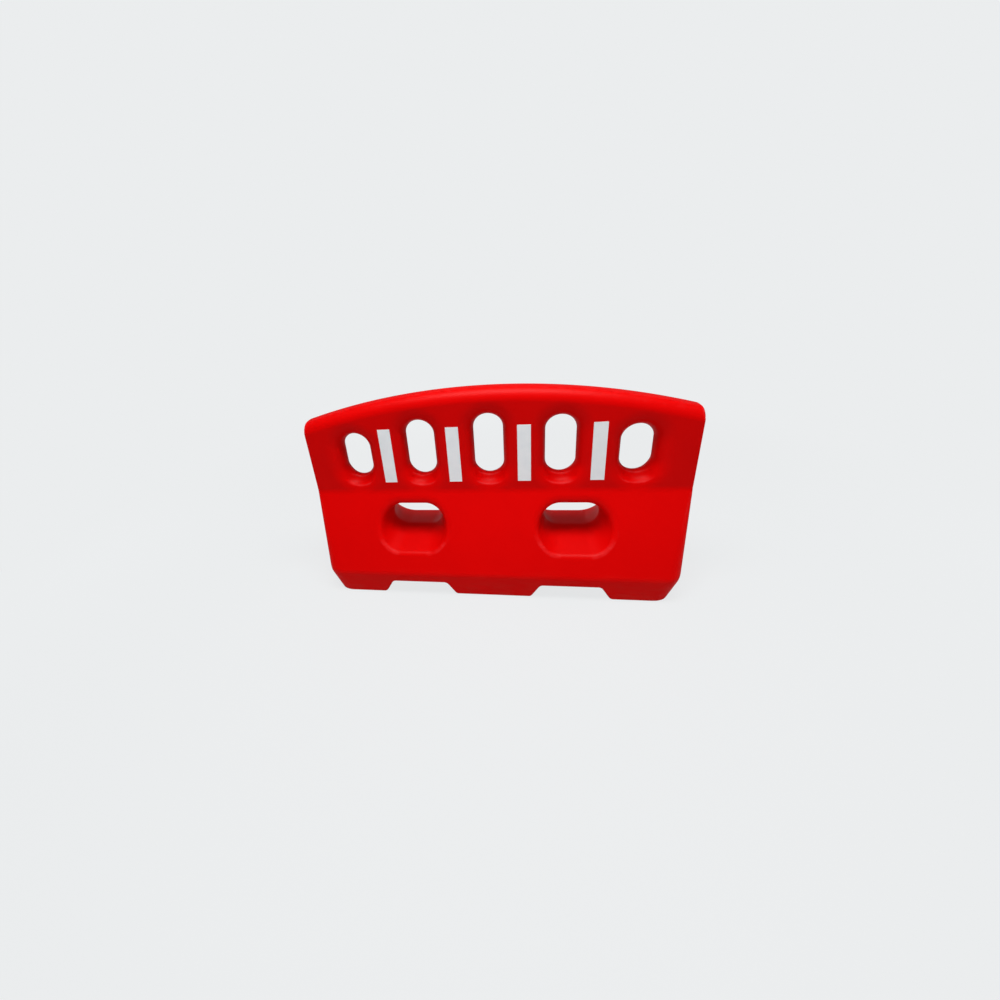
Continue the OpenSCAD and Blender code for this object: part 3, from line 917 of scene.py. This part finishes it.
def rounded_profile(corners: Array, closed: bool, step: float) -> Array:
    """Profile through corners, each eased by a parabola that reaches its own length along both of its sides.

    Args:
        corners: rows of radius, height and easing length, in millimetres.
        closed: whether the last corner joins the first; otherwise both end corners stay as they are.
        step: longest distance between neighbouring points.

    Returns:
        Rows of radius and height.
    """
    curve_points = 7
    least_gap = 0.02 * step
    spots = corners[:, :2]
    before = np.roll(spots, 1, axis=0) - spots
    after = np.roll(spots, -1, axis=0) - spots
    reach = corners[:, 2:]
    start = spots + before * reach / np.linalg.norm(before, axis=1, keepdims=True)
    end = spots + after * reach / np.linalg.norm(after, axis=1, keepdims=True)
    share = np.linspace(0.0, 1.0, curve_points)[None, :, None]
    rest = 1 - share
    curve = rest ** 2 * start[:, None] + 2 * share * rest * spots[:, None] + share ** 2 * end[:, None]
    if closed:
        line = np.concatenate([curve.reshape(-1, 2), curve[0, :1]])
    else:
        line = np.concatenate([spots[:1], curve[1:-1].reshape(-1, 2), spots[-1:]])
    run = np.concatenate([[0.0], np.cumsum(np.linalg.norm(np.diff(line, axis=0), axis=1))])
    even = np.linspace(0.0, run[-1], int(run[-1] / step) + 2)
    places = np.union1d(run, even)
    places = places[np.concatenate([[True], np.diff(places) > least_gap])]
    fine = np.stack([np.interp(places, run, line[:, axis]) for axis in range(2)], axis=1)
    if closed:
        return fine[:-1]
    fine[-1] = spots[-1]
    return fine


def lathe(profile: Array, count: int, closed: bool, shape: Field | None = None) -> Surface:
    """Turns a profile about the Z axis: a point is (r cos a, r sin a, z), and the outside lies left of its run.

    Args:
        profile: rows of radius and height.
        count: steps of a whole turn.
        closed: whether the profile's end joins its start; otherwise its two ends are poles on the axis.
        shape: new radius from the arrays of radius, height and angle.

    Returns:
        The points, and the faces by their width.
    """
    angle = (2.0 * math.pi / count * np.arange(count))[None, :]
    rings = profile if closed else profile[1:-1]
    radius = np.repeat(rings[:, :1], count, axis=1)
    height = np.repeat(rings[:, 1:], count, axis=1)
    if shape is not None:
        radius = shape(radius, height, angle)
    points = np.stack([radius * np.cos(angle), radius * np.sin(angle), height], axis=2).reshape(-1, 3)
    number = np.arange(radius.size).reshape(radius.shape)
    ahead = np.roll(number, -1, axis=1)
    if closed:
        lower = np.roll(number, -1, axis=0)
        lower_ahead = np.roll(ahead, -1, axis=0)
        return points, [np.stack([number, lower, lower_ahead, ahead], axis=2).reshape(-1, 4)]
    poles = np.array([[0.0, 0.0, profile[0, 1]], [0.0, 0.0, profile[-1, 1]]])
    top = np.full(count, len(points))
    quads = np.stack([number[:-1], number[1:], ahead[1:], ahead[:-1]], axis=2).reshape(-1, 4)
    fans = np.concatenate([np.stack([top, number[0], ahead[0]], axis=1),
                           np.stack([number[-1], top + 1, ahead[-1]], axis=1)])
    return np.concatenate([points, poles]), [quads, fans]


def rounded_bar(length: float, width: float, low: float, high: float, edge: float) -> Surface:
    """Upright bar with round ends: rings of a stadium, drawn in by a quarter arc of radius edge at the top.

    Args:
        length: size along X.
        width: size along Y.
        low: height of its flat foot.
        high: height of its flat top.
        edge: rounding of the top edge.

    Returns:
        The points, and the faces by their width.
    """
    count = 96
    arc_points = 8
    top_inset = 0.3
    angle = 2.0 * math.pi * (np.arange(count) + 0.5) / count
    bend = np.linspace(0.0, math.pi / 2.0, arc_points)
    inset = np.concatenate([[0.0], edge * (1.0 - np.cos(bend)), [edge + top_inset]])[:, None]
    height = np.concatenate([[low], high - edge * (1.0 - np.sin(bend)), [high]])[:, None]
    x = np.sign(np.cos(angle)) * (length - width) / 2.0 + (width / 2.0 - inset) * np.cos(angle)
    y = (width / 2.0 - inset) * np.sin(angle)
    points = np.stack([x, y, np.repeat(height, count, axis=1)], axis=2).reshape(-1, 3)
    number = np.arange(len(points)).reshape(-1, count)
    ahead = np.roll(number, -1, axis=1)
    sides = np.stack([number[:-1], ahead[:-1], ahead[1:], number[1:]], axis=2).reshape(-1, 4)
    return points, [sides, np.stack([number[0, ::-1], number[-1]])]


class Head(Enum):
    """How a screwed closure is gripped."""

    GRIP_BAR = "grip bar"
    HEXAGON = "hexagon"


@dataclass(frozen=True)
class ScrewFitting:
    """A port on the rear of the moulding: threaded collar, gasket and screwed closure.

    Lengths are in millimetres, but for the place, which is in metres. Heights run outwards along the port's axis,
    from that place. A profile's rows hold radius, height and easing length.
    """

    name: str
    closure: str
    closure_body: str
    head: Head
    place: Point
    lean: float
    # Recess, collar and gasket
    pocket_r: float
    floor: float
    bore_depth: float
    flange_r: float
    flange_h: float
    sleeve_r: float
    sleeve_h: float
    bore_r: float
    gasket_r: float
    gasket_h: float
    # Closure and thread
    head_r: float
    head_h: float
    grip_r: float
    grip_h: float
    shank_r: float
    shank_h: float
    shank_wall: float
    pitch: float
    thread: float
    # Fineness of the turned surfaces, and the lengths that both fittings share
    steps: int
    step: float
    gap: float = 0.1
    near: float = 0.01
    same: float = 1e-6
    run_out_share: float = 0.6
    lead_in: float = 1.0
    gasket_ease: float = 1.1
    gasket_step: float = 0.8
    # Dish, chamfer, grip bar and scallops
    dish: float = 0.6
    dish_floor_share: float = 0.80
    dish_rim_share: float = 0.82
    chamfer_share: float = 0.89
    chamfer_slope: float = 1.7
    grip_w: float = 16.0
    grip_root: float = 1.5
    grip_edge: float = 2.6
    scallops: int = 12
    scallop_r: float = 6.0
    scallop_at: float = 50.4
    scallop_from_share: float = 0.78
    scallop_run_share: float = 0.14

    @property
    def out(self) -> Point:
        """Direction of the axis, away from the barrier."""
        return (0.0, math.cos(self.lean), math.sin(self.lean))

    @property
    def seat(self) -> float:
        """Height of the closure's underside, on its gasket."""
        return self.floor + self.flange_h + self.gasket_h + 2.0 * self.gap

    @property
    def top(self) -> float:
        """Height of the closure's rim."""
        return self.seat + self.head_h

    def pocket(self) -> Pocket:
        """The recess in the moulding that the fitting sits in."""
        return Pocket(centre=self.place, out=self.out, radius=self.pocket_r * MM, floor=self.floor * MM,
                      bore_radius=(self.sleeve_r + self.gap) * MM, bore_floor=-self.bore_depth * MM)

    def stand(self, points: Array) -> Array:
        """Carries points from the axis's own frame to the barrier's, in metres."""
        axes = np.array([[1.0, 0.0, 0.0], [0.0, math.sin(self.lean), -math.cos(self.lean)], self.out])
        return np.array(self.place) + MM * points @ axes

    def groove(self, height: Array, angle: Array, low: float, high: float) -> Array:
        """Depth of the thread's groove: its full depth times one less a wave of height over pitch less turn.

        The wave fades out towards both ends.

        Args:
            height: heights on the threaded wall.
            angle: angles round it.
            low: where the thread starts.
            high: where it ends.

        Returns:
            The depths.
        """
        wave = 0.5 - 0.5 * np.cos(2.0 * math.pi * height / self.pitch - angle)
        fade = np.clip(np.minimum(height - low, high - height) / (self.run_out_share * self.pitch), 0.0, 1.0)
        return self.thread * (1.0 - wave * fade)

    def collar(self) -> Surface:
        """Flanged sleeve turned from one profile, with the thread cut into its bore.

        Returns:
            The points, and the faces by their width.
        """
        low = self.floor - self.sleeve_h
        high = self.floor + self.flange_h
        profile = rounded_profile(np.array([
            [self.bore_r, high, 0.8], [self.flange_r, high, 1.4],
            [self.flange_r, self.floor, 0.2], [self.sleeve_r, self.floor, 0.2],
            [self.sleeve_r, low, 0.8], [self.bore_r, low, 0.8]]), True, self.step)

        def cut(radius: Array, height: Array, angle: Array) -> Array:
            """Deepens the bore's wall along the thread's grooves, up to a plain lead-in."""
            wall = (np.abs(radius - self.bore_r) < self.same) & (height < high - self.lead_in)
            return radius + wall * self.groove(height, angle, low, high)

        return lathe(profile, self.steps, True, cut)

    def gasket(self) -> Surface:
        """Flat ring with eased edges.

        Returns:
            The points, and the faces by their width.
        """
        low = self.floor + self.flange_h + self.gap
        high = low + self.gasket_h
        ease = self.gasket_ease
        profile = rounded_profile(np.array([
            [self.bore_r, high, ease], [self.gasket_r, high, ease], [self.gasket_r, low, ease],
            [self.bore_r, low, ease]]), True, self.gasket_step)
        return lathe(profile, self.steps, True)

    def notched(self, radius: Array, angle: Array) -> Array:
        """Draws the rim in where round scallops of one size are spaced round it, fading out towards the middle.

        Args:
            radius: radii on the turned head.
            angle: angles round it.

        Returns:
            The new radii.
        """
        turn = 2.0 * math.pi / self.scallops
        off = self.scallop_at * np.sin((angle + turn / 2.0) % turn - turn / 2.0)
        bite = np.sqrt(np.maximum(self.scallop_r ** 2 - off ** 2, 0.0))
        reach = np.where(bite > 0.0, np.sqrt(self.scallop_at ** 2 - off ** 2) - bite, self.head_r)
        start = self.scallop_from_share * self.head_r
        share = np.clip((radius - start) / (self.scallop_run_share * self.head_r), 0.0, 1.0)
        return radius - share * np.maximum(self.head_r - reach, 0.0)

    def gripped(self, radius: Array, height: Array, angle: Array) -> Array:
        """Cuts the grip of a turned head: scallops in the rim, or six flats under a conical chamfer.

        A flat's radius is the corner's times cos 30 over cos of the angle from the flat's middle.

        Args:
            radius: radii on the closure.
            height: heights on it.
            angle: angles round it.

        Returns:
            The new radii.
        """
        if self.head is Head.GRIP_BAR:
            return np.where(height > self.seat - self.near, self.notched(radius, angle), radius)
        flats = math.cos(math.pi / 6.0) / np.cos(angle % (math.pi / 3.0) - math.pi / 6.0)
        cone = self.chamfer_share * self.grip_r + self.chamfer_slope * (self.top + self.grip_h - height)
        hexagon = (height > self.top + self.near) & (radius <= self.grip_r + self.same)
        return np.where(hexagon, np.minimum(radius * flats, cone), radius)

    def closing(self) -> Surface:
        """Head and hollow threaded shank turned from one profile, with a hexagon, or a dish under a grip bar.

        Returns:
            The points, and the faces by their width.
        """
        seat = self.seat
        foot = seat - self.shank_h
        inner = self.shank_r - self.shank_wall
        crest = self.top + self.grip_h
        dish = self.top - self.dish
        middle = {
            Head.HEXAGON: [[0.0, crest, 0.0], [self.grip_r, crest, 0.4], [self.grip_r, self.top, 0.3]],
            Head.GRIP_BAR: [[0.0, dish, 0.0], [self.dish_floor_share * self.head_r, dish, 0.5],
                            [self.dish_rim_share * self.head_r, self.top, 0.5]]}
        profile = rounded_profile(np.array(middle[self.head] + [
            [self.head_r, self.top, 1.8], [self.head_r, seat, 0.8],
            [self.shank_r, seat, 0.4], [self.shank_r, foot, 1.0],
            [inner, foot, 0.8], [inner, seat, 0.8], [0.0, seat, 0.0]]), False, self.step)

        def cut(radius: Array, height: Array, angle: Array) -> Array:
            """Cuts the thread's grooves into the shank, and then the grip."""
            wall = (np.abs(radius - self.shank_r) < self.same) & (height < seat)
            return self.gripped(radius - wall * self.groove(height, angle, foot, seat), height, angle)

        points, faces = lathe(profile, self.steps, False, cut)
        if self.head is Head.HEXAGON:
            return points, faces
        bar, sides = rounded_bar(2.0 * self.grip_r, self.grip_w, self.top - self.grip_root, crest, self.grip_edge)
        return np.concatenate([points, bar]), faces + [side + len(points) for side in sides]

    def dress(self, collar: Material, seal: Material, cap: Material) -> None:
        """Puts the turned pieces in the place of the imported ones.

        Args:
            collar: finish of the collar.
            seal: finish of the gasket.
            cap: finish of the closure.
        """
        pieces = ((f"{self.name}_collar", self.collar(), collar, "barrier", "collar_plastic"),
                  (f"{self.name}_gasket", self.gasket(), seal, f"{self.name}_seal", "gasket_rubber"),
                  (self.closure, self.closing(), cap, self.closure_body, "cap_plastic"))
        for node, (points, faces), finish, body, slot in pieces:
            piece = make_piece(f"{node}_turned", self.stand(points), faces, finish)
            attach(piece, body)
            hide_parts(node)
            LOG.info("%s: %d faces", piece.name, len(piece.data.polygons))


FILLER = ScrewFitting(
    name="filler", closure="filler_cap", closure_body="filler_lid", head=Head.GRIP_BAR,
    place=(0.0, 0.116404, 0.400), lean=math.atan2(0.182, 0.376), pocket_r=62.0, floor=-26.0, bore_depth=100.0,
    flange_r=53.0, flange_h=4.0, sleeve_r=43.0, sleeve_h=28.0, bore_r=33.0, gasket_r=42.0, gasket_h=4.0,
    head_r=48.0, head_h=9.0, grip_r=39.0, grip_h=8.0, shank_r=32.6, shank_h=20.0, shank_wall=5.0,
    pitch=5.0, thread=1.2, steps=192, step=0.7)
DRAIN = ScrewFitting(
    name="drain", closure="drain_plug", closure_body="drain_stopper", head=Head.HEXAGON,
    place=(0.0, 0.214, 0.040), lean=0.0, pocket_r=33.0, floor=0.0, bore_depth=80.0,
    flange_r=27.0, flange_h=3.0, sleeve_r=21.0, sleeve_h=20.0, bore_r=16.0, gasket_r=24.0, gasket_h=3.0,
    head_r=24.0, head_h=6.0, grip_r=14.0, grip_h=12.0, shank_r=15.6, shank_h=15.0, shank_wall=5.0,
    pitch=3.0, thread=0.8, steps=180, step=0.45)


class Face(Enum):
    """The two broad faces of the panel."""

    FRONT = "front"
    REAR = "rear"


@dataclass(frozen=True)
class ReflectiveStrips:
    """The film strips between the slots, on one face."""

    face: Face
    count: int = 4

    def dress(self, finish: Material) -> None:
        """Gives each strip of the face its film."""
        for number in range(1, self.count + 1):
            dress_node(f"{self.face.value}_strip_{number}", finish)


@dataclass(frozen=True)
class Lamp:
    """A soft rectangular lamp: its place and size in metres, its power in watts, and whether gloss mirrors it."""

    name: str
    place: Point
    size: tuple[float, float]
    power: float
    mirrored: bool = False
    aim: Point = (0.0, 0.0, 0.5)

    def hang(self) -> None:
        """Hangs the lamp where the camera doesn't see it, facing its aim."""
        light = bpy.data.lights.new(self.name, "AREA")
        light.shape = "RECTANGLE"
        light.size, light.size_y = self.size
        light.energy = self.power
        lamp = bpy.data.objects.new(self.name, light)
        turn = (Vector(self.aim) - Vector(self.place)).to_track_quat("-Z", "Y").to_matrix()
        lamp.matrix_world = Matrix.Translation(Vector(self.place)) @ turn.to_4x4()
        lamp.visible_camera = False
        lamp.visible_glossy = self.mirrored
        bpy.context.scene.collection.objects.link(lamp)


LAMPS = (
    Lamp("key_lamp", place=(0.1, -0.55, 3.7), size=(2.6, 1.1), power=115.0, mirrored=True),
    Lamp("fill_lamp", place=(0.0, -4.5, 1.5), size=(3.0, 1.5), power=72.0),
    Lamp("back_lamp", place=(-0.7, 3.4, 0.55), size=(3.0, 0.8), power=50.0),
    Lamp("left_lamp", place=(-3.6, 0.1, 0.9), size=(1.6, 1.2), power=30.0),
    Lamp("right_lamp", place=(3.6, 0.1, 0.9), size=(1.6, 1.2), power=30.0),
)


@dataclass(frozen=True)
class PhotoCamera:
    """The camera of the photograph.

    The line of sight turns left by yaw and down by pitch, and the frame leans by roll. The focal length and the
    point where the line of sight meets the picture are shares of the picture's side.
    """

    place: Point = (0.112381, -1.762798, 1.463069)
    yaw: float = math.radians(11.348)
    pitch: float = math.radians(24.409)
    roll: float = math.radians(6.045)
    focal_share: float = 0.398264
    axis_x: float = 0.440473
    axis_y: float = 0.457870
    sensor_mm: float = 36.0
    far: float = 200.0

    def stand(self) -> None:
        """Stands the camera where the photograph was taken from."""
        ahead = np.array([-math.sin(self.yaw) * math.cos(self.pitch), math.cos(self.yaw) * math.cos(self.pitch),
                          -math.sin(self.pitch)])
        right = np.array([math.cos(self.yaw), math.sin(self.yaw), 0.0])
        down = np.cross(ahead, right)
        side = math.cos(self.roll) * right + math.sin(self.roll) * down
        drop = math.cos(self.roll) * down - math.sin(self.roll) * right
        lens = bpy.data.cameras.new("photo_camera")
        lens.sensor_width = self.sensor_mm
        lens.sensor_fit = "HORIZONTAL"
        lens.lens = self.sensor_mm * self.focal_share
        lens.shift_x = 0.5 - self.axis_x
        lens.shift_y = self.axis_y - 0.5
        lens.clip_end = self.far
        camera = bpy.data.objects.new("photo_camera", lens)
        turn = Matrix(np.stack([side, -drop, -ahead], axis=1).tolist())
        camera.matrix_world = Matrix.Translation(Vector(self.place)) @ turn.to_4x4()
        bpy.context.scene.collection.objects.link(camera)
        bpy.context.scene.camera = camera


@dataclass(frozen=True)
class Studio:
    """The pale paper that the barrier stands on, with the lamps and the camera round it."""

    paper: str = "#ebedee"
    bounce: str = "#a0a0a0"
    ambient: float = 0.10
    shadow_share: float = 0.10
    mirror_share: float = 0.16
    floor_half: float = 60.0
    fade_from: float = 1.3
    fade_to: float = 3.2

    def seen_share(self, tree: Tree) -> Socket:
        """How far a ray sees the paper as pale.

        Args:
            tree: the node tree of the paper or the world.

        Returns:
            One for the camera and a refraction, a share for mirrors, and zero for stray light.
        """
        path = add_node(tree, "ShaderNodeLightPath", {}).outputs
        mirror = add_node(tree, "ShaderNodeMath", {"operation": "MULTIPLY", 1: self.mirror_share},
                          {0: path["Is Glossy Ray"]}).outputs[0]
        clear = add_node(tree, "ShaderNodeMath", {"operation": "MAXIMUM"},
                         {0: mirror, 1: path["Is Transmission Ray"]}).outputs[0]
        return add_node(tree, "ShaderNodeMath", {"operation": "MAXIMUM"},
                        {0: path["Is Camera Ray"], 1: clear}).outputs[0]

    def paper_finish(self) -> Material:
        """Seamless paper: evenly pale where it is seen, with the shadow drawn softly close to the barrier.

        Returns:
            The material.
        """
        material, tree = new_material("seamless_paper")
        place = add_node(tree, "ShaderNodeTexCoord", {}).outputs["Object"]
        reach = add_node(tree, "ShaderNodeVectorMath", {"operation": "LENGTH"}, {0: place}).outputs["Value"]
        share = add_node(tree, "ShaderNodeMapRange",
                         {"interpolation_type": "SMOOTHSTEP", "From Min": self.fade_to, "From Max": self.fade_from,
                          "To Max": self.shadow_share}, {"Value": reach}).outputs["Result"]
        glow = add_node(tree, "ShaderNodeEmission", {"Color": linear(self.paper)}).outputs[0]
        matt = add_node(tree, "ShaderNodeBsdfDiffuse", {"Color": linear(self.paper)}).outputs[0]
        seen = add_node(tree, "ShaderNodeMixShader", {}, {0: share, 1: glow, 2: matt}).outputs[0]
        stray = add_node(tree, "ShaderNodeBsdfDiffuse", {"Color": linear(self.bounce)}).outputs[0]
        mixed = add_node(tree, "ShaderNodeMixShader", {}, {0: self.seen_share(tree), 1: stray, 2: seen}).outputs[0]
        add_node(tree, "ShaderNodeOutputMaterial", {}, {"Surface": mixed})
        return material

    def backdrop(self) -> None:
        """Lays the paper on the ground and gives the world the same pale colour."""
        half = self.floor_half
        corners = np.array([[-half, -half, 0.0], [half, -half, 0.0], [half, half, 0.0], [-half, half, 0.0]])
        make_piece("studio_floor", corners, [np.array([[0, 1, 2, 3]])], self.paper_finish())
        world = bpy.data.worlds.new("studio_world")
        world.use_nodes = True
        tree = world.node_tree
        tree.nodes.clear()
        pale = linear(self.paper)
        dim = add_node(tree, "ShaderNodeBackground", {"Color": pale, "Strength": self.ambient}).outputs[0]
        full = add_node(tree, "ShaderNodeBackground", {"Color": pale, "Strength": 1.0}).outputs[0]
        both = add_node(tree, "ShaderNodeMixShader", {}, {0: self.seen_share(tree), 1: dim, 2: full}).outputs[0]
        add_node(tree, "ShaderNodeOutputWorld", {}, {"Surface": both})
        bpy.context.scene.world = world

    def set_up(self) -> None:
        """Sets the stage: paper, world, lamps, camera and the plain view transform."""
        self.backdrop()
        for lamp in LAMPS:
            lamp.hang()
        PhotoCamera().stand()
        bpy.context.scene.view_settings.view_transform = "Standard"


def main() -> None:
    """Builds the stage and every piece."""
    logging.basicConfig(level=logging.INFO, format="%(name)s: %(message)s")
    Studio().set_up()
    fittings = (FILLER, DRAIN)
    BarrierShell(tuple(fitting.pocket() for fitting in fittings)).dress()
    film = FILM_WHITE.paint()
    for face in Face:
        ReflectiveStrips(face).dress(film)
    collar = COLLAR_BLACK.paint()
    seal = SEAL_BLACK.paint()
    cap = CAP_RED.paint()
    for fitting in fittings:
        fitting.dress(collar, seal, cap)


if __name__ == "__main__":
    main()
